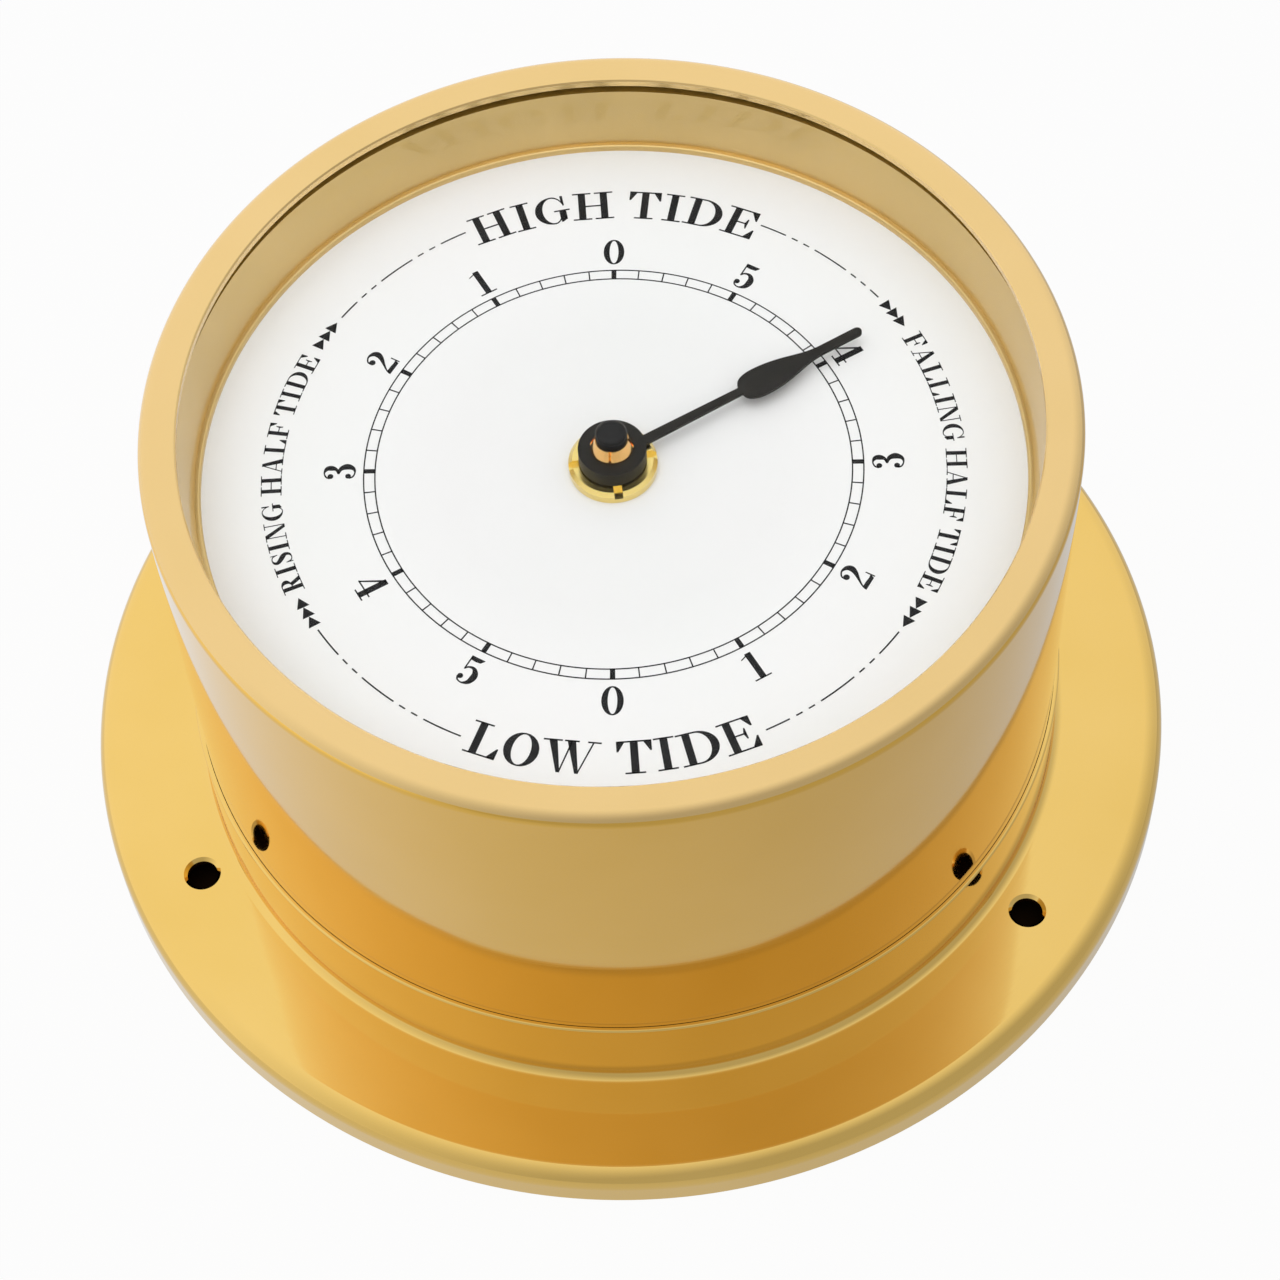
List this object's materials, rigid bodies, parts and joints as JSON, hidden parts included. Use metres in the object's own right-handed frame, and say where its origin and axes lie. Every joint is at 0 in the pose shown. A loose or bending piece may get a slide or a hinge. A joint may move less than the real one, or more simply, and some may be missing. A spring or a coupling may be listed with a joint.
{
  "type": "tide clock",
  "caption": "Round brass tide clock: a deep drum case on a screw-down flange, with a glazed dial, a tide hand and a quartz movement geared to the tide.",
  "frame": {"origin": "centre of the flange's back plane, on the wall", "axes": "+Z out of the wall through the dial and glass, +Y to the high tide mark at the top of the dial"},
  "size_m": [0.15, 0.15, 0.072],
  "materials": {
    "polished_brass": "polished and lacquered",
    "turned_brass": "turned",
    "inner_brass": "satin",
    "glass": "clear mineral glass",
    "black_rubber": "moulded",
    "dial_white": "matt white enamel paint on aluminium",
    "black_plastic": "moulded, fine grain",
    "white_plastic": "moulded acetal",
    "hand_black": "satin black paint",
    "cap_black": "moulded",
    "screw_steel": "zinc plated",
    "arbor_steel": "ground",
    "soft_iron": "stamped",
    "magnet": "sintered magnet",
    "copper_wire": "enamelled copper wire",
    "board_green": "glass-fibre laminate with solder resist",
    "resin_black": "cast resin blob",
    "crystal_can": "drawn can",
    "battery_jacket": "printed steel jacket, left bare",
    "nickel": "nickel plated"
  },
  "bodies": {
    "case": {"mounting_flange": "polished_brass", "case_shell": "polished_brass", "glass_gasket": "black_rubber", "glass": "glass", "rehaut_ring": "inner_brass", "dial_plate": "dial_white", "support_sleeve": "black_plastic", "retaining_ring": "black_plastic", "back_cover": "black_plastic", "back_cover_screws": "screw_steel", "movement_housing": "black_plastic", "movement_cover": "black_plastic", "movement_screws": "screw_steel", "middle_plate": "white_plastic", "threaded_bushing": "turned_brass", "rubber_washer": "black_rubber", "dial_nut": "turned_brass", "stator_plate": "soft_iron", "coil_core": "soft_iron", "coil_bobbin": "white_plastic", "coil_winding": "copper_wire", "battery_cell": "battery_jacket", "positive_contact": "nickel", "negative_contact": "nickel", "circuit_board": "board_green", "clock_chip": "resin_black", "quartz_crystal": "crystal_can"},
    "tide_hand": {"tide_hand": "hand_black", "tide_wheel": "turned_brass", "hand_collet": "turned_brass", "hand_cap": "cap_black"},
    "motion_wheel": {"motion_wheel": "white_plastic"},
    "centre_arbor": {"centre_arbor": "arbor_steel"},
    "setting_knob": {"setting_knob": "black_plastic", "setting_arbor": "white_plastic"},
    "rotor": {"rotor": "magnet"},
    "step_wheel": {"step_wheel": "white_plastic"},
    "third_wheel": {"third_wheel": "white_plastic"},
    "clutch_wheel": {"clutch_wheel": "white_plastic"}
  },
  "joints": [
    {"name": "tide_hand_spin", "type": "hinge", "parent": "case", "child": "tide_hand", "pos_m": [0, 0, 0.061], "axis": [0, 0, 1], "continuous": true},
    {"name": "motion_wheel_spin", "type": "hinge", "parent": "case", "child": "motion_wheel", "pos_m": [0.00707, 0.00843, 0.0545], "axis": [0, 0, 1], "continuous": true},
    {"name": "centre_arbor_spin", "type": "hinge", "parent": "case", "child": "centre_arbor", "pos_m": [0, 0, 0.052], "axis": [0, 0, 1], "continuous": true},
    {"name": "setting_knob_spin", "type": "hinge", "parent": "case", "child": "setting_knob", "pos_m": [0.01897, 0.01276, 0.05], "axis": [0, 0, 1], "continuous": true},
    {"name": "rotor_spin", "type": "hinge", "parent": "case", "child": "rotor", "pos_m": [-0.02038, 0.01168, 0.047], "axis": [0, 0, 1], "continuous": true},
    {"name": "step_wheel_spin", "type": "hinge", "parent": "case", "child": "step_wheel", "pos_m": [-0.01227, 0.00951, 0.047], "axis": [0, 0, 1], "continuous": true},
    {"name": "third_wheel_spin", "type": "hinge", "parent": "case", "child": "third_wheel", "pos_m": [-0.01076, 0.00094, 0.047], "axis": [0, 0, 1], "continuous": true},
    {"name": "clutch_wheel_spin", "type": "hinge", "parent": "case", "child": "clutch_wheel", "pos_m": [0, 0, 0.051], "axis": [0, 0, 1], "continuous": true}
  ],
  "couplings": [
    {"joint": "motion_wheel_spin", "follows": "tide_hand_spin", "ratio": -3.6364},
    {"joint": "centre_arbor_spin", "follows": "tide_hand_spin", "ratio": 12.424},
    {"joint": "setting_knob_spin", "follows": "tide_hand_spin", "ratio": 7.4545},
    {"joint": "step_wheel_spin", "follows": "rotor_spin", "ratio": -0.16667},
    {"joint": "third_wheel_spin", "follows": "rotor_spin", "ratio": 0.026667},
    {"joint": "clutch_wheel_spin", "follows": "rotor_spin", "ratio": -0.0033333}
  ]
}
